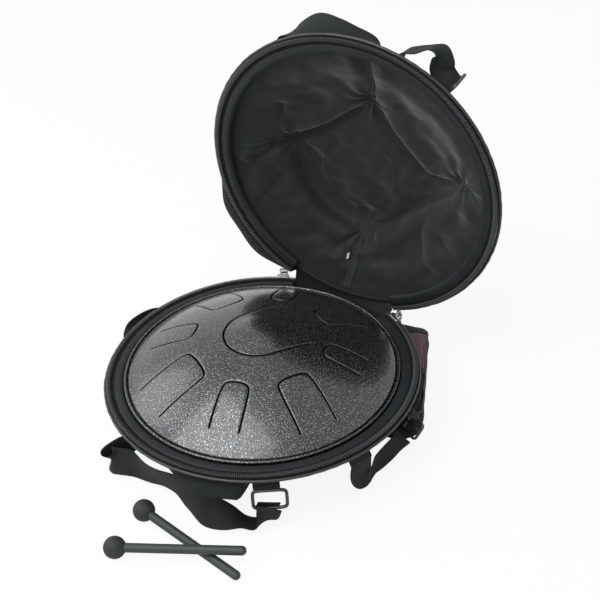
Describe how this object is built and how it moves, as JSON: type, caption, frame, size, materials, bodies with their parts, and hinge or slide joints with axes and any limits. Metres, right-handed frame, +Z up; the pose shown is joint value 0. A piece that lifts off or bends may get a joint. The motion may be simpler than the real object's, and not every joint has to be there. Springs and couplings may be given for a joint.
{
  "type": "steel tongue drum",
  "caption": "Round steel tongue drum seated in its open padded carrying bag, with a lid on a cloth hinge, zip sliders, shoulder straps and a pair of rubber headed mallets.",
  "frame": {"origin": "centre of the bag's flat underside, on the ground", "axes": "+Z up through the drum's middle, +Y towards the bag's cloth hinge, +X to the side with the pocket"},
  "size_m": [0.3928, 0.5034, 0.4237],
  "materials": {
    "drum_enamel": "hammered grey black powder coat",
    "foot_rubber": "matt",
    "outer_cloth": "woven",
    "foam": "padding",
    "lining_cloth": "smooth",
    "board": "stiff sheet",
    "satin_band": "satin",
    "zip_tape": "woven tape",
    "zip_coil": "nylon",
    "piping_cloth": "satin cord",
    "panel_cloth": "satin",
    "webbing": "ribbed webbing",
    "hardware_plastic": "moulded",
    "zip_metal": "nickel plate",
    "mallet_rubber": "matt",
    "mallet_plastic": "satin"
  },
  "bodies": {
    "bag": {"base_cover": "outer_cloth", "base_foam": "foam", "base_lining": "lining_cloth", "base_board": "board", "base_rim_band": "satin_band", "base_zip_tape": "zip_tape", "base_zip_coil": "zip_coil", "base_piping": "piping_cloth", "hinge_strip": "outer_cloth", "side_pocket": "outer_cloth", "pocket_panel": "panel_cloth", "pocket_piping": "panel_cloth", "side_handle": "webbing", "left_strap": "webbing", "front_tab": "webbing", "front_ring": "hardware_plastic", "strap_return": "webbing", "right_strap": "webbing", "right_strap_tab": "webbing", "right_buckle": "hardware_plastic", "buckle_tab": "webbing"},
    "lid": {"lid_cover": "outer_cloth", "lid_foam": "foam", "lid_lining": "lining_cloth", "lid_rim_band": "satin_band", "lid_zip_tape": "zip_tape", "lid_zip_coil": "zip_coil", "lid_piping": "piping_cloth", "lid_dart_left": "lining_cloth", "lid_dart_top": "lining_cloth", "lid_dart_right": "lining_cloth", "lid_handle": "webbing", "lid_strap": "webbing", "lid_strap_tab": "webbing", "lid_ring": "hardware_plastic"},
    "drum": {"drum_top_shell": "drum_enamel", "drum_bottom_shell": "drum_enamel", "drum_seam_bead": "drum_enamel", "drum_foot_1": "foot_rubber", "drum_foot_2": "foot_rubber", "drum_foot_3": "foot_rubber", "drum_foot_4": "foot_rubber"},
    "slider_left": {"slider_left": "zip_metal"},
    "pull_left": {"pull_left": "zip_metal"},
    "slider_right": {"slider_right": "zip_metal"},
    "pull_right": {"pull_right": "zip_metal"},
    "mallet_one": {"mallet_one_handle": "mallet_plastic", "mallet_one_head": "mallet_rubber"},
    "mallet_two": {"mallet_two_handle": "mallet_plastic", "mallet_two_head": "mallet_rubber"}
  },
  "joints": [
    {"name": "lid_hinge", "type": "hinge", "parent": "bag", "child": "lid", "pos_m": [0, 0.1616, 0.0782], "axis": [-0.9919, 0, 0.1271], "range_deg": [-89.3, 30], "deforming": ["hinge_strip"]},
    {"name": "drum_lift", "type": "slide", "parent": "bag", "child": "drum", "axis": [0, 0, 1], "range_m": [0, 0.12]},
    {"name": "left_slider_travel", "type": "hinge", "parent": "bag", "child": "slider_left", "pos_m": [0, 0, 0.072], "axis": [0, 0, 1], "range_deg": [0, 147]},
    {"name": "left_pull_swing", "type": "hinge", "parent": "slider_left", "child": "pull_left", "pos_m": [-0.08318, 0.15979, 0.0718], "axis": [0.887, 0.4617, 0], "range_deg": [0, 100]},
    {"name": "right_slider_travel", "type": "hinge", "parent": "bag", "child": "slider_right", "pos_m": [0, 0, 0.072], "axis": [0, 0, 1], "range_deg": [-147, 0]},
    {"name": "right_pull_swing", "type": "hinge", "parent": "slider_right", "child": "pull_right", "pos_m": [0.08318, 0.15979, 0.0718], "axis": [0.887, -0.4617, 0], "range_deg": [0, 100]},
    {"name": "mallet_one_lift", "type": "slide", "parent": "bag", "child": "mallet_one", "axis": [0, 0, 1], "range_m": [0, 0.08]},
    {"name": "mallet_two_draw", "type": "slide", "parent": "bag", "child": "mallet_two", "axis": [-0.9926, 0.1096, 0.0522], "range_m": [0, 0.06]}
  ]
}
